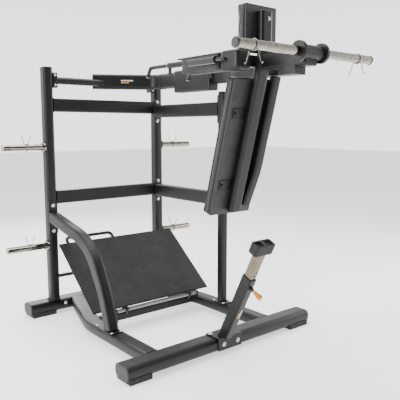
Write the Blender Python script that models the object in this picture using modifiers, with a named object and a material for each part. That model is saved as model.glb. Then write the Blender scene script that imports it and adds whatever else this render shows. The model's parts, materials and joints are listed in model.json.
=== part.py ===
"""Plate-loaded pendulum hack squat machine, modelled in metres, +Z up.

+Y is the rear of the machine (the end with the two tall posts), -Y the end
where the loading horns and the travel stop are.  The user stands on the tilted
foot plate, leans back on the long pad and faces the rear posts.
"""
import math

import bmesh
import bpy
from mathutils import Matrix, Vector

# ---------------------------------------------------------------- dimensions
GAP = 0.0003                     # clearance between pieces that touch

FOOT_H = 0.020                   # rubber feet
BAR_TOP = 0.110                  # top of the base bars and rails
BAR_DEPTH = 0.150
FRONT_BAR_Y = -0.315
FRONT_BAR_X0, FRONT_BAR_X1 = -0.750, 0.865
REAR_BAR_Y = 1.140
REAR_BAR_X = 0.725

RAIL_X = 0.505
RAIL_REAR_X = 0.320
RAIL_W = 0.120

POST_X = 0.518                   # rear posts
POST_Y = 1.115
POST_W, POST_D = 0.076, 0.090
POST_TOP = 1.960
FRONT_POST_X = 0.497
FRONT_POST_Y = 0.190
FRONT_POST_W = 0.062
FRONT_POST_TOP = 1.770

CROSS_UPPER = (1.626, 1.730)     # rear crossbars, bottom and top
CROSS_LOWER = (0.900, 1.005)
SIDE_UPPER = (1.592, 1.700)      # side beams
SIDE_LOWER = (0.890, 0.998)

PEG_D = 0.050
PEG_LEN = 0.330
PEG_Z = (0.565, 1.350)

PIVOT_Y, PIVOT_Z = 1.115, 1.870
PIVOT_TUBE_D, PIVOT_BORE_D, PIVOT_PIN_D = 0.056, 0.034, 0.030
PIVOT_HALF = 0.436

ARM_W, ARM_H = 0.080, 0.122
ARM_X = 0.367
ARM_Z = 1.883
ARM_FRONT_Y = -0.685
ARM_SEAM_Y = 0.780

PAD_TILT = math.radians(15.07)   # long pad leans back from the vertical
PAD_FOOT = (-0.429, 0.951)       # lowest point of its back face, (y, z)
PAD_LEN = 0.867
PAD_HALF = 0.178
BOARD_T = 0.012
PAD_T = 0.070

SPINE_W, SPINE_D = 0.090, 0.050
HEAD_Y0 = -0.6877                # back face of the head pad board
HEAD_Z0, HEAD_Z1 = 1.932, 2.208

HORN_Y, HORN_Z = -1.050, 1.900
HORN_D = 0.050
FRONT_REACH, REAR_REACH = HORN_Y - 0.055, REAR_BAR_Y + 0.0775   # front of the horn flanges, back of the rear feet
HORN_ROOT, HORN_TIP = 0.1003, 0.541

SHOULDER_X = 0.208
SHOULDER_HALF = 0.056

STOP_LEAN = math.radians(26.5)
STOP_FOOT_Y = -0.385
HINGE_Y, HINGE_Z = 0.372, 0.170  # foot plate hinge
PLATE_ANGLE = math.radians(38.7)

# ------------------------------------------------------------------- set-up
for old in list(bpy.data.objects):
    bpy.data.objects.remove(old, do_unlink=True)

PARTS = bpy.data.collections.new("hack_squat_machine")
GUIDES = bpy.data.collections.new("cutters")
bpy.context.scene.collection.children.link(PARTS)
bpy.context.scene.collection.children.link(GUIDES)

LOOKS = {
    "powder_coat": ((0.028, 0.029, 0.030), 0.42, 0.35),
    "chrome": ((0.72, 0.72, 0.70), 0.16, 1.0),
    "steel": ((0.56, 0.54, 0.50), 0.34, 1.0),
    "vinyl": ((0.016, 0.016, 0.017), 0.48, 0.0),
    "rubber": ((0.020, 0.020, 0.021), 0.72, 0.0),
    "plastic": ((0.025, 0.025, 0.026), 0.50, 0.0),
    "knob": ((0.80, 0.36, 0.05), 0.38, 0.0),
    "grey": ((0.42, 0.43, 0.43), 0.40, 0.6),
}


def finish(obj, look):
    """Gives the object its own material and files it with the parts."""
    colour, rough, metal = LOOKS[look]
    mat = bpy.data.materials.new(obj.name + "_" + look)
    mat.use_nodes = True
    shader = mat.node_tree.nodes["Principled BSDF"]
    shader.inputs["Base Color"].default_value = (*colour, 1.0)
    shader.inputs["Roughness"].default_value = rough
    shader.inputs["Metallic"].default_value = metal
    obj.data.materials.clear()
    obj.data.materials.append(mat)
    file_in(obj, PARTS)
    return obj


def file_in(obj, collection):
    for c in list(obj.users_collection):
        c.objects.unlink(obj)
    collection.objects.link(obj)


def guide(obj):
    file_in(obj, GUIDES)
    obj.hide_render = True
    obj.display_type = "WIRE"
    return obj


def frame_along(p0, p1, up=(0, 0, 1)):
    """Matrix with +X from p0 to p1 and +Z near `up`."""
    x = (Vector(p1) - Vector(p0)).normalized()
    z = Vector(up)
    y = z.cross(x).normalized()
    z = x.cross(y).normalized()
    m = Matrix((x, y, z)).transposed().to_4x4()
    m.translation = Vector(p0)
    return m


SIDE_PLANE = Matrix(((0, 0, 1, 0), (1, 0, 0, 0), (0, 1, 0, 0), (0, 0, 0, 1)))


def section(w, h, r, n=3):
    """Closed outline of a tube section with rounded corners."""
    r = min(r, w / 2 - 1e-4, h / 2 - 1e-4)
    pts = []
    for cx, cy, a0 in ((w / 2 - r, h / 2 - r, 0), (-w / 2 + r, h / 2 - r, 90),
                       (-w / 2 + r, -h / 2 + r, 180), (w / 2 - r, -h / 2 + r, 270)):
        for i in range(n + 1):
            a = math.radians(a0 + 90 * i / n)
            pts.append((cx + r * math.cos(a), cy + r * math.sin(a)))
    data = bpy.data.curves.new("section", "CURVE")
    data.dimensions = "2D"
    data.fill_mode = "NONE"
    s = data.splines.new("POLY")
    s.points.add(len(pts) - 1)
    for p, (x, y) in zip(s.points, pts):
        p.co = (x, y, 0, 1)
    s.use_cyclic_u = True
    obj = bpy.data.objects.new("section", data)
    GUIDES.objects.link(obj)
    obj.hide_render = True
    obj.display_type = "WIRE"
    return obj


def sweep(name, look, pts, w, h, r, matrix, n=3):
    """A tube of rounded rectangular section along a path in the local XY plane.

    w lies in that plane, across the path; h lies along local Z.
    """
    data = bpy.data.curves.new(name, "CURVE")
    data.dimensions = "3D"
    data.twist_mode = "Z_UP"
    data.use_fill_caps = True
    data.bevel_mode = "OBJECT"
    data.bevel_object = section(w, h, r, n)
    s = data.splines.new("POLY")
    s.points.add(len(pts) - 1)
    for p, (x, y) in zip(s.points, pts):
        p.co = (x, y, 0, 1)
    obj = bpy.data.objects.new(name, data)
    PARTS.objects.link(obj)
    obj.matrix_world = matrix
    return finish(to_mesh(obj), look)


def rod(name, look, pts, radius, res=3, cyclic=False):
    """A round tube or wire along 3D points."""
    data = bpy.data.curves.new(name, "CURVE")
    data.dimensions = "3D"
    data.bevel_depth = radius
    data.bevel_resolution = res
    data.use_fill_caps = not cyclic
    s = data.splines.new("POLY")
    s.points.add(len(pts) - 1)
    for p, co in zip(s.points, pts):
        p.co = (*co, 1)
    s.use_cyclic_u = cyclic
    obj = bpy.data.objects.new(name, data)
    PARTS.objects.link(obj)
    return finish(to_mesh(obj), look)


def to_mesh(obj):
    """Replaces a curve by its welded mesh."""
    bpy.context.view_layer.update()
    deps = bpy.context.evaluated_depsgraph_get()
    mesh = bpy.data.meshes.new_from_object(obj.evaluated_get(deps))
    bm = bmesh.new()
    bm.from_mesh(mesh)
    bmesh.ops.remove_doubles(bm, verts=bm.verts, dist=1e-5)
    bmesh.ops.recalc_face_normals(bm, faces=bm.faces)
    bm.to_mesh(mesh)
    bm.free()
    name, matrix = obj.name, obj.matrix_world.copy()
    bpy.data.objects.remove(obj, do_unlink=True)
    new = bpy.data.objects.new(name, mesh)
    PARTS.objects.link(new)
    new.matrix_world = matrix
    bpy.context.view_layer.update()
    return new


def tube(name, look, p0, p1, w, h, r, up=(0, 0, 1), n=3):
    """Straight tube: w across, h along `up`."""
    length = (Vector(p1) - Vector(p0)).length
    return sweep(name, look, [(0, 0), (length, 0)], w, h, r, frame_along(p0, p1, up), n)


def block(name, look, lo, hi, bevel=0.0, seg=2, matrix=None):
    """Box between two corners, with rounded edges."""
    bpy.ops.mesh.primitive_cube_add(size=1)
    obj = bpy.context.object
    obj.name = name
    lo, hi = Vector(lo), Vector(hi)
    obj.data.transform(Matrix.Translation((lo + hi) / 2)
                       @ Matrix.Diagonal((*(hi - lo), 1)))
    if matrix is not None:
        obj.matrix_world = matrix
    if bevel:
        mod = obj.modifiers.new("edges", "BEVEL")
        mod.width = bevel
        mod.segments = seg
        mod.limit_method = "NONE"
    return finish(obj, look)


def cyl(name, look, p0, p1, radius, seg=24, bevel=0.0):
    """Cylinder from p0 to p1."""
    length = (Vector(p1) - Vector(p0)).length
    bpy.ops.mesh.primitive_cylinder_add(vertices=seg, radius=radius, depth=length)
    obj = bpy.context.object
    obj.name = name
    obj.data.transform(Matrix.Translation((0, 0, length / 2)))
    d = (Vector(p1) - Vector(p0)).normalized()
    m = d.to_track_quat("Z", "Y").to_matrix().to_4x4()
    m.translation = Vector(p0)
    obj.matrix_world = m
    if bevel:
        mod = obj.modifiers.new("edges", "BEVEL")
        mod.width = bevel
        mod.segments = 1
        mod.limit_method = "ANGLE"
        mod.angle_limit = math.radians(50)
    for p in obj.data.polygons:
        p.use_smooth = True
    obj.data.set_sharp_from_angle(angle=math.radians(40))
    return finish(obj, look)


def combine(base, other, operation="UNION"):
    """Joins or cuts `base` by `other`, which becomes a guide."""
    mod = base.modifiers.new(operation.lower(), "BOOLEAN")
    mod.operation = operation
    mod.solver = "EXACT"
    mod.object = guide(other)
    return base


def mirrored(obj, name):
    """Left-right mirror image as a mesh of its own."""
    bpy.context.view_layer.update()
    deps = bpy.context.evaluated_depsgraph_get()
    mesh = bpy.data.meshes.new_from_object(obj.evaluated_get(deps))
    mesh.transform(Matrix.Diagonal((-1, 1, 1, 1)) @ obj.matrix_world)
    mesh.flip_normals()
    new = bpy.data.objects.new(name, mesh)
    PARTS.objects.link(new)
    mat = obj.data.materials[0].copy()
    mat.name = name
    new.data.materials.clear()
    new.data.materials.append(mat)
    return new


def turned(name, look, profile, point, axis, steps):
    """Solid of revolution: profile holds (radius, distance along the axis) from one end to the other."""
    mesh = bpy.data.meshes.new(name)
    mesh.from_pydata([(r, 0, h) for r, h in profile], [(i, i + 1) for i in range(len(profile) - 1)], [])
    obj = bpy.data.objects.new(name, mesh)
    PARTS.objects.link(obj)
    mod = obj.modifiers.new("turn", "SCREW")
    mod.angle = 2 * math.pi
    mod.steps = mod.render_steps = steps
    mod.use_merge_vertices = True
    mod.merge_threshold = 1e-5
    m = Vector(axis).normalized().to_track_quat("Z", "Y").to_matrix().to_4x4()
    m.translation = Vector(point)
    obj.matrix_world = m
    return finish(to_mesh(obj), look)


def pivot_at(obj, point):
    """Moves an object's origin, not its shape, to a point."""
    bpy.context.view_layer.update()
    m = obj.matrix_world.copy()
    new = Matrix.Translation(Vector(point))
    obj.data.transform(new.inverted() @ m)
    obj.matrix_world = new


def arc(cx, cy, r, a0, a1, n):
    return [(cx + r * math.cos(math.radians(a0 + (a1 - a0) * i / n)),
             cy + r * math.sin(math.radians(a0 + (a1 - a0) * i / n))) for i in range(n + 1)]


def fillet(pts, radii, n=6):
    """Rounds the inner corners of a 2D polyline."""
    out = [tuple(pts[0])]
    for i in range(1, len(pts) - 1):
        a, b, c = Vector(pts[i - 1]), Vector(pts[i]), Vector(pts[i + 1])
        u, v = (a - b).normalized(), (c - b).normalized()
        half = math.acos(max(-1, min(1, u.dot(v)))) / 2
        r = radii[i - 1]
        d = r / math.tan(half)
        centre = b + (u + v).normalized() * (r / math.sin(half))
        s, e = b + u * d - centre, b + v * d - centre
        a0, a1 = math.atan2(s.y, s.x), math.atan2(e.y, e.x)
        da = (a1 - a0 + math.pi) % (2 * math.pi) - math.pi
        for k in range(n + 1):
            t = a0 + da * k / n
            out.append((centre.x + r * math.cos(t), centre.y + r * math.sin(t)))
    out.append(tuple(pts[-1]))
    return out


# --------------------------------------------------------------------- base
BAR_R = 0.034


def base_bar(name, x0, x1, y):
    # flat underside, well rounded top edges
    obj = tube(name, "powder_coat", (x0, y, (FOOT_H + BAR_TOP) / 2),
               (x1, y, (FOOT_H + BAR_TOP) / 2), BAR_DEPTH, BAR_TOP - FOOT_H - 2 * GAP, BAR_R, n=4)
    return obj


def bar_room(x0, x1, y):
    """The space a base bar fills, with a hair of clearance, to fit other pieces round it."""
    return tube("bar_room_form", "rubber", (x0, y, (FOOT_H + BAR_TOP) / 2), (x1, y, (FOOT_H + BAR_TOP) / 2),
                BAR_DEPTH + 2 * GAP, BAR_TOP - FOOT_H, BAR_R + GAP, n=4)


base_bar("front_base_bar", FRONT_BAR_X0, FRONT_BAR_X1, FRONT_BAR_Y)
base_bar("rear_base_bar", -REAR_BAR_X, REAR_BAR_X, REAR_BAR_Y)

# rubber feet: shallow troughs that hold the ends of the bars
for name, x0, x1, y in (("front_foot_left", FRONT_BAR_X0 + 0.004, FRONT_BAR_X0 + 0.166, FRONT_BAR_Y),
                        ("front_foot_right", FRONT_BAR_X1 - 0.205, FRONT_BAR_X1 - 0.006, FRONT_BAR_Y),
                        ("rear_foot_left", -REAR_BAR_X + 0.006, -REAR_BAR_X + 0.205, REAR_BAR_Y),
                        ("rear_foot_right", REAR_BAR_X - 0.205, REAR_BAR_X - 0.006, REAR_BAR_Y)):
    foot = block(name, "rubber", (x0, y - 0.0775, 0), (x1, y + 0.0775, 0.040), 0.006)
    combine(foot, bar_room(x0 - 0.1, x1 + 0.1, y), "DIFFERENCE")

# rails: straight beside the user, then drawn in towards the rear bar
RAIL_Y0 = FRONT_BAR_Y + BAR_DEPTH / 2 + GAP
RAIL_Y1 = REAR_BAR_Y - BAR_DEPTH / 2 - GAP
RAIL_Z = (FOOT_H + 0.010 + BAR_TOP) / 2
rail_path = fillet([(-RAIL_X, RAIL_Y0 - 0.022), (-RAIL_X, 0.500), (-RAIL_REAR_X, RAIL_Y1 + 0.022)], [0.60], 8)
rail = sweep("base_rail_left", "powder_coat", rail_path, RAIL_W, BAR_TOP - FOOT_H - 0.010, 0.026,
             Matrix.Translation((0, 0, RAIL_Z)))
for y in (FRONT_BAR_Y, REAR_BAR_Y):
    combine(rail, bar_room(-0.9, 0.1, y), "DIFFERENCE")
mirrored(rail, "base_rail_right")

BEAM_Y = 0.512
plate_beam = tube("foot_plate_beam", "powder_coat", (-RAIL_X, BEAM_Y, 0.078), (RAIL_X, BEAM_Y, 0.078), 0.060, 0.060, 0.010)
for sgn in (1, -1):                # its ends follow the sides of the rails
    combine(plate_beam, sweep("rail_room_form", "steel", [(sgn * x, y) for x, y in rail_path], RAIL_W + 2 * GAP, 0.20, 0.010,
                              Matrix.Translation((0, 0, RAIL_Z))), "DIFFERENCE")

# --------------------------------------------------------------- foot plate
lug_x = 0.372
for sgn in (-1, 1):
    x0 = sgn * lug_x
    combine(plate_beam, block("hinge_lug_form", "powder_coat", (min(x0, x0 + sgn * 0.012), HINGE_Y - 0.015, 0.086),
                              (max(x0, x0 + sgn * 0.012), BEAM_Y + 0.018, HINGE_Z + 0.016)))
combine(plate_beam, cyl("hinge_lug_bore", "steel", (-0.45, HINGE_Y, HINGE_Z), (0.45, HINGE_Y, HINGE_Z), 0.0103, 24), "DIFFERENCE")
hinge_bar = cyl("foot_plate_hinge_bar", "grey", (-lug_x + GAP, HINGE_Y, HINGE_Z), (lug_x - GAP, HINGE_Y, HINGE_Z),
                0.014, 28)
combine(hinge_bar, cyl("hinge_pin_form", "grey", (-lug_x - 0.020, HINGE_Y, HINGE_Z), (lug_x + 0.020, HINGE_Y, HINGE_Z),
                       0.0100, 24))

ca, sa = math.cos(PLATE_ANGLE), math.sin(PLATE_ANGLE)
PLATE_X0, PLATE_X1 = -0.572, 0.487
PLATE_LEN, PLATE_T = 0.668, 0.006
# local +X across, +Y up the slope, +Z out of the standing face
plate_frame = Matrix(((1, 0, 0, 0), (0, ca, -sa, 0.356), (0, sa, ca, 0.1985), (0, 0, 0, 1)))
plate = block("foot_plate", "powder_coat", (PLATE_X0, 0, -PLATE_T), (PLATE_X1, PLATE_LEN, 0), 0.0015, 1, plate_frame)
# folded stiffening lip along the top edge
combine(plate, block("lip_form", "powder_coat", (PLATE_X0 + 0.01, PLATE_LEN - 0.008, -0.034),
                     (PLATE_X1 - 0.01, PLATE_LEN - 0.0005, -0.003), 0, 1, plate_frame))
for k, x in enumerate((-0.36, -0.02, 0.32)):
    combine(plate, block("rib_form_%d" % k, "powder_coat", (x, 0.06, -0.040), (x + 0.04, PLATE_LEN - 0.03, -0.004),
                         0, 1, plate_frame))
# ears that ride on the hinge bar
for k, x in enumerate((-0.30, 0.288)):
    combine(plate, block("ear_form_%d" % k, "powder_coat", (x, -0.030, -0.062), (x + 0.012, 0.070, -0.002), 0, 1,
                         plate_frame))
combine(plate, cyl("ear_bore", "steel", (-0.5, HINGE_Y, HINGE_Z), (0.5, HINGE_Y, HINGE_Z), 0.0146, 28), "DIFFERENCE")
bpy.context.view_layer.update()
grip = block("foot_plate_grip_sheet", "rubber", (PLATE_X0 + 0.006, 0.006, GAP), (PLATE_X1 - 0.006, PLATE_LEN - 0.006, 0.0043),
             0.0012, 1, plate_frame)

hx0, hx1 = -0.485, -0.085
hp = fillet([(hx0, PLATE_LEN + GAP), (hx0, PLATE_LEN + 0.062), (hx1, PLATE_LEN + 0.062), (hx1, PLATE_LEN + GAP)], [0.030, 0.030], 6)
rod("foot_plate_handle", "powder_coat", [plate_frame @ Vector((x, y, -0.016)) for x, y in hp], 0.0130, 3)

# ------------------------------------------------------------------ uprights
POST_FOOT_T = 0.008


def foot_flange(name, x, y, w, d):
    return block(name, "powder_coat", (x - w / 2, y - d / 2, BAR_TOP + GAP), (x + w / 2, y + d / 2, BAR_TOP + POST_FOOT_T),
                 0.0018, 1)


for side, sgn in (("left", -1), ("right", 1)):
    x = sgn * POST_X
    post = tube("rear_post_" + side, "powder_coat", (x, POST_Y, BAR_TOP + 0.004), (x, POST_Y, POST_TOP),
                POST_D, POST_W, 0.022, up=(1, 0, 0), n=3)
    combine(post, foot_flange("rear_post_flange_" + side, x, POST_Y, POST_W + 0.006, POST_D + 0.006))

post = tube("front_post", "powder_coat", (FRONT_POST_X, FRONT_POST_Y, BAR_TOP + 0.004),
            (FRONT_POST_X, FRONT_POST_Y, FRONT_POST_TOP), FRONT_POST_W, FRONT_POST_W, 0.014, up=(1, 0, 0))
combine(post, foot_flange("front_post_flange", FRONT_POST_X, FRONT_POST_Y, 0.100, 0.150))

inner = POST_X - POST_W / 2 - GAP
for name, (z0, z1) in (("upper_crossbar", CROSS_UPPER), ("lower_crossbar", CROSS_LOWER)):
    tube(name, "powder_coat", (-inner, POST_Y - 0.010, (z0 + z1) / 2), (inner, POST_Y - 0.010, (z0 + z1) / 2),
         0.070, z1 - z0, 0.014)

post_front = POST_Y - POST_D / 2
for name, (z0, z1) in (("upper_side_beam", SIDE_UPPER), ("lower_side_beam", SIDE_LOWER)):
    zc = (z0 + z1) / 2
    ya, yb = FRONT_POST_Y + FRONT_POST_W / 2 + GAP, post_front - GAP
    beam = tube(name, "powder_coat", (FRONT_POST_X, ya + 0.002, zc), (FRONT_POST_X, yb - 0.002, zc), 0.060, z1 - z0, 0.012)
    for y0, y1, k in ((ya, ya + 0.006, 0), (yb - 0.006, yb, 1)):
        combine(beam, block(name + "_flange_%d" % k, "powder_coat", (FRONT_POST_X - 0.028, y0, zc - 0.105),
                            (FRONT_POST_X + 0.028, y1, zc + 0.105)))

# curved entry tube beside the foot plate
ENTRY_X = -0.523
entry_path = fillet([(post_front - 0.0085, 0.800), (0.470, 0.682), (0.255, 0.330), (0.195, BAR_TOP + POST_FOOT_T + 0.002)],
                    [0.42, 1.00], 9)
entry = sweep("entry_tube", "powder_coat", entry_path, 0.094, 0.076, 0.020,
              Matrix.Translation((ENTRY_X, 0, 0)) @ SIDE_PLANE, 4)
# its lower end is cut level on its flange, its upper end square on the post plate
combine(entry, block("entry_trim", "steel", (ENTRY_X - 0.1, -0.1, 0.0), (ENTRY_X + 0.1, 0.5, BAR_TOP + 0.004)), "DIFFERENCE")
combine(entry, block("entry_trim_rear", "steel", (ENTRY_X - 0.1, post_front - 0.004, 0.5),
                     (ENTRY_X + 0.1, post_front + 0.2, 1.2)), "DIFFERENCE")
combine(entry, foot_flange("entry_tube_flange", ENTRY_X + 0.004, 0.242, 0.098, 0.228))
combine(entry, block("entry_tube_post_plate", "powder_coat", (ENTRY_X - 0.036, post_front - 0.008, 0.665),
                     (ENTRY_X + 0.036, post_front - GAP, 0.925)))

# thin tie bar behind the foot plate
tie_y = 1.02
tie = block("foot_plate_tie_bar", "powder_coat", (-0.497, post_front - 0.026, 0.305), (0.497, post_front - GAP, 0.330), 0.003, 1)

# ----------------------------------------------------------- storage pegs
for side, sgn in (("left", -1), ("right", 1)):
    face = sgn * (POST_X + POST_W / 2 + GAP)
    for k, z in enumerate(PEG_Z):
        level = ("lower", "upper")[k]
        peg = cyl("storage_peg_%s_%s" % (level, side), "chrome", (face + sgn * 0.002, POST_Y, z),
                  (face + sgn * PEG_LEN, POST_Y, z), PEG_D / 2, 24, 0.003)
        combine(peg, cyl("peg_flange_%s_%s" % (level, side), "chrome", (face, POST_Y, z), (face + sgn * 0.012, POST_Y, z),
                         0.043, 24))

# ------------------------------------------------------------ pivot bearings
for side, sgn in (("left", -1), ("right", 1)):
    wall = sgn * (POST_X - POST_W / 2 - GAP)
    face = sgn * (PIVOT_HALF + 0.003)
    b = block("pivot_bearing_" + side, "powder_coat", (min(wall, face), PIVOT_Y - 0.038, PIVOT_Z - 0.058),
              (max(wall, face), PIVOT_Y + 0.038, PIVOT_Z + 0.058), 0.006)
    combine(b, cyl("pivot_pin_" + side, "steel", (sgn * 0.46, PIVOT_Y, PIVOT_Z), (sgn * 0.385, PIVOT_Y, PIVOT_Z),
                   PIVOT_PIN_D / 2, 24))

# ---------------------------------------------------------------- swing arm
ptube = cyl("arm_pivot_tube", "powder_coat", (-PIVOT_HALF, PIVOT_Y, PIVOT_Z), (PIVOT_HALF, PIVOT_Y, PIVOT_Z), PIVOT_TUBE_D / 2, 32)
combine(ptube, cyl("arm_pivot_bore", "steel", (-0.6, PIVOT_Y, PIVOT_Z), (0.6, PIVOT_Y, PIVOT_Z), PIVOT_BORE_D / 2, 24),
        "DIFFERENCE")

corner = fillet([(-0.085, 1.172), (ARM_X, 0.905), (ARM_X, ARM_SEAM_Y + GAP)], [0.110], 8)
rear = sweep("arm_rear_section", "powder_coat", corner, ARM_W, ARM_H, 0.022, Matrix.Translation((0, 0, ARM_Z)), 4)
combine(rear, cyl("arm_cross_bore", "steel", (-0.5, PIVOT_Y, PIVOT_Z), (0.45, PIVOT_Y, PIVOT_Z),
                  PIVOT_TUBE_D / 2 + GAP, 32), "DIFFERENCE")
arm_front = tube("arm_front_section", "powder_coat", (ARM_X, ARM_SEAM_Y, ARM_Z), (ARM_X, 0.160, ARM_Z), ARM_W, ARM_H, 0.022, n=3)
combine(arm_front, block("arm_sleeve_form", "powder_coat", (ARM_X - 0.048, 0.150, ARM_Z - ARM_H / 2 - 0.042),
                         (ARM_X + 0.048, 0.585, ARM_Z + ARM_H / 2 + 0.006), 0.012))
# link tube from the arm's sleeve forward to the crosshead, drawn in a little on the way
LINK_X, LINK_W, LINK_Z = 0.305, 0.050, 1.880
link_path = fillet([(ARM_X + 0.010, 0.160), (ARM_X + 0.010, 0.040), (LINK_X, -0.500), (LINK_X, -0.669)], [0.30, 0.30], 4)
combine(arm_front, sweep("arm_link_form", "powder_coat", link_path, LINK_W, 0.110, 0.016, Matrix.Translation((0, 0, LINK_Z))))

# crosshead that carries the pads: cross tube and two shoulder brackets
CROSS_Y, CROSS_Z = -0.640, 1.887
crosshead = tube("carriage_crosshead", "powder_coat", (-SHOULDER_X, CROSS_Y, CROSS_Z), (LINK_X - LINK_W / 2 - GAP, CROSS_Y, CROSS_Z),
                 0.058, 0.068, 0.010)
for sgn in (-1, 1):
    x = sgn * SHOULDER_X
    combine(crosshead, block("shoulder_bracket_form", "powder_coat", (x - 0.055, -0.765, 1.816), (x + 0.055, -0.617, 1.932), 0.022, 3))
    combine(crosshead, block("shoulder_plate_form", "powder_coat", (x - 0.045, -0.640, 1.9165), (x + 0.045, -0.215, 1.9245)))

# hanger over the upper end of the side tube
combine(crosshead, block("side_hanger_form", "powder_coat", (0.097, -0.735, 1.8135), (0.160, -0.630, 1.900), 0.006))

# spine: up the back of the long pad, then vertical behind the head pad
tx, tz = -math.sin(PAD_TILT), math.cos(PAD_TILT)      # up the pad, (y, z)
nx, nz = math.cos(PAD_TILT), math.sin(PAD_TILT)       # towards the user


def on_pad(s, n):
    return (PAD_FOOT[0] + tx * s + nx * n, PAD_FOOT[1] + tz * s + nz * n)


spine_n = -SPINE_D / 2 - 0.0015
spine_path = fillet([on_pad(0.035, spine_n), (-0.7135, on_pad(0, spine_n)[1] + (on_pad(0, spine_n)[0] + 0.7135) / math.tan(PAD_TILT)),
                     (-0.7135, 2.160)], [0.25], 8)
spine = sweep("carriage_spine", "powder_coat", spine_path, SPINE_D, SPINE_W, 0.016, SIDE_PLANE)

# side tube of the carriage, drawn in to the spine at its lower end
side_frame = Matrix(((0, 1, 0, 0), (tx, 0, nx, 0), (tz, 0, nz, 0), (0, 0, 0, 1)))
side_frame.translation = Vector((0, on_pad(0, spine_n)[0], on_pad(0, spine_n)[1]))
sweep("carriage_side_tube", "powder_coat", fillet([(0.07, 0.0865), (0.30, 0.129), (0.893, 0.129)], [0.5], 6), 0.068, SPINE_D,
      0.018, side_frame)

# ------------------------------------------------------------------- pads
pad_frame = Matrix(((1, 0, 0, 0), (0, tx, nx, PAD_FOOT[0]), (0, tz, nz, PAD_FOOT[1]), (0, 0, 0, 1)))
# this frame is left-handed, so +X is mirrored to keep shapes proper
pad_frame = pad_frame @ Matrix.Diagonal((-1, 1, 1, 1))
block("back_pad_board", "plastic", (-PAD_HALF + 0.008, 0.008, 0), (PAD_HALF - 0.008, PAD_LEN - 0.008, BOARD_T), 0.002, 1, pad_frame)
block("back_pad", "vinyl", (-PAD_HALF, 0.0, BOARD_T + GAP), (PAD_HALF, PAD_LEN, BOARD_T + PAD_T), 0.016, 3, pad_frame)
block("head_pad_board", "plastic", (-0.125, HEAD_Y0 + GAP, HEAD_Z0 + 0.008), (0.125, HEAD_Y0 + BOARD_T, HEAD_Z1 - 0.008), 0.002, 1)
block("head_pad", "vinyl", (-0.131, HEAD_Y0 + BOARD_T + GAP, HEAD_Z0), (0.131, HEAD_Y0 + BOARD_T + 0.069, HEAD_Z1), 0.016, 3)

for s in (0.655, 0.205):
    combine(spine, block("pad_strap_form", "powder_coat", (0.030, s - 0.032, -0.006), (0.140, s + 0.032, -0.0018), 0, 1, pad_frame))
    bolt_y, bolt_z = on_pad(s, -0.005)
    out_y, out_z = on_pad(s, -0.013)
    combine(spine, cyl("strap_bolt_form", "steel", (-0.118, bolt_y, bolt_z), (-0.118, out_y, out_z), 0.010, 20))

# ------------------------------------------------------- shoulder supports
for side, sgn in (("left", -1), ("right", 1)):
    x = sgn * SHOULDER_X
    lo, hi = x - 0.055, x + 0.055
    block("shoulder_pad_" + side, "vinyl", (lo, -0.6105, 1.822), (hi, -0.250, 1.9160), 0.026, 3)
    # grip tube: straight out over the pad, then turned down at its end
    x = sgn * 0.178
    path = fillet([(-0.330, 1.9035), (0.185, 1.9065), (0.211, 1.862)], [0.026], 5)
    hb = [(x, y, z) for y, z in path]
    h = rod("grab_handle_" + side, "powder_coat", [(x, -0.2497, 1.9035), *hb[1:]], 0.0125, 3)
    combine(h, tube("grip_sleeve_form_" + side, "powder_coat", (x, -0.185, 1.9035), (x, -0.030, 1.9045), 0.036, 0.036, 0.0175))
    combine(h, block("grip_strap_form_" + side, "powder_coat", (x - 0.006, -0.047, 1.845), (x + 0.006, -0.027, 1.905)))
    combine(h, cyl("handle_end_form", "grey", (x, 0.2105, 1.866), (x, 0.2165, 1.847), 0.0150, 20, 0.004))

# hand grip on the outside of the left shoulder bracket
side_grip = rod("side_hand_grip", "plastic", [(-SHOULDER_X - 0.0556, -0.668, 1.880), (-0.274, -0.668, 1.880), (-0.2845, -0.660, 1.880),
                                              (-0.2865, -0.648, 1.880), (-0.2865, -0.374, 1.880)], 0.010, 2)
combine(side_grip, tube("side_grip_sleeve_form", "plastic", (-0.2865, -0.612, 1.880), (-0.2865, -0.376, 1.880), 0.040, 0.040, 0.0195))

# -------------------------------------------------------------------- horns
beam = tube("horn_beam", "powder_coat", (0, -0.7135 - SPINE_D / 2 - GAP, 1.880), (0, -1.063, 1.880), 0.090, 0.100, 0.014)
combine(beam, cyl("horn_hub_form", "powder_coat", (-0.084, HORN_Y, HORN_Z), (0.084, HORN_Y, HORN_Z), 0.038, 24))
combine(beam, block("striker_form", "powder_coat", (-0.045, -0.985, 1.790), (0.045, -0.865, 1.840)))
for side, sgn in (("left", -1), ("right", 1)):
    horn = cyl("loading_horn_" + side, "chrome", (sgn * (HORN_ROOT + 0.002), HORN_Y, HORN_Z), (sgn * HORN_TIP, HORN_Y, HORN_Z),
               HORN_D / 2, 24, 0.002)
    combine(beam, cyl("horn_flange_form", "powder_coat", (sgn * 0.080, HORN_Y, HORN_Z), (sgn * (HORN_ROOT + 0.002 - GAP), HORN_Y, HORN_Z),
                      0.055, 28, 0.003))
    cyl("horn_end_plug_" + side, "plastic", (sgn * (HORN_TIP + GAP), HORN_Y, HORN_Z), (sgn * (HORN_TIP + 0.012), HORN_Y, HORN_Z),
        0.0275, 24, 0.004)

# -------------------------------------------------------------- travel stop
sy, sz = -math.sin(STOP_LEAN), math.cos(STOP_LEAN)


def on_stop(s, n=0.0):
    """(y, z) at s along the stop's axis and n square to it, towards +Y."""
    return (STOP_FOOT_Y + sy * s + sz * n, BAR_TOP + 0.0 + sz * s - sy * n)


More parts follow.
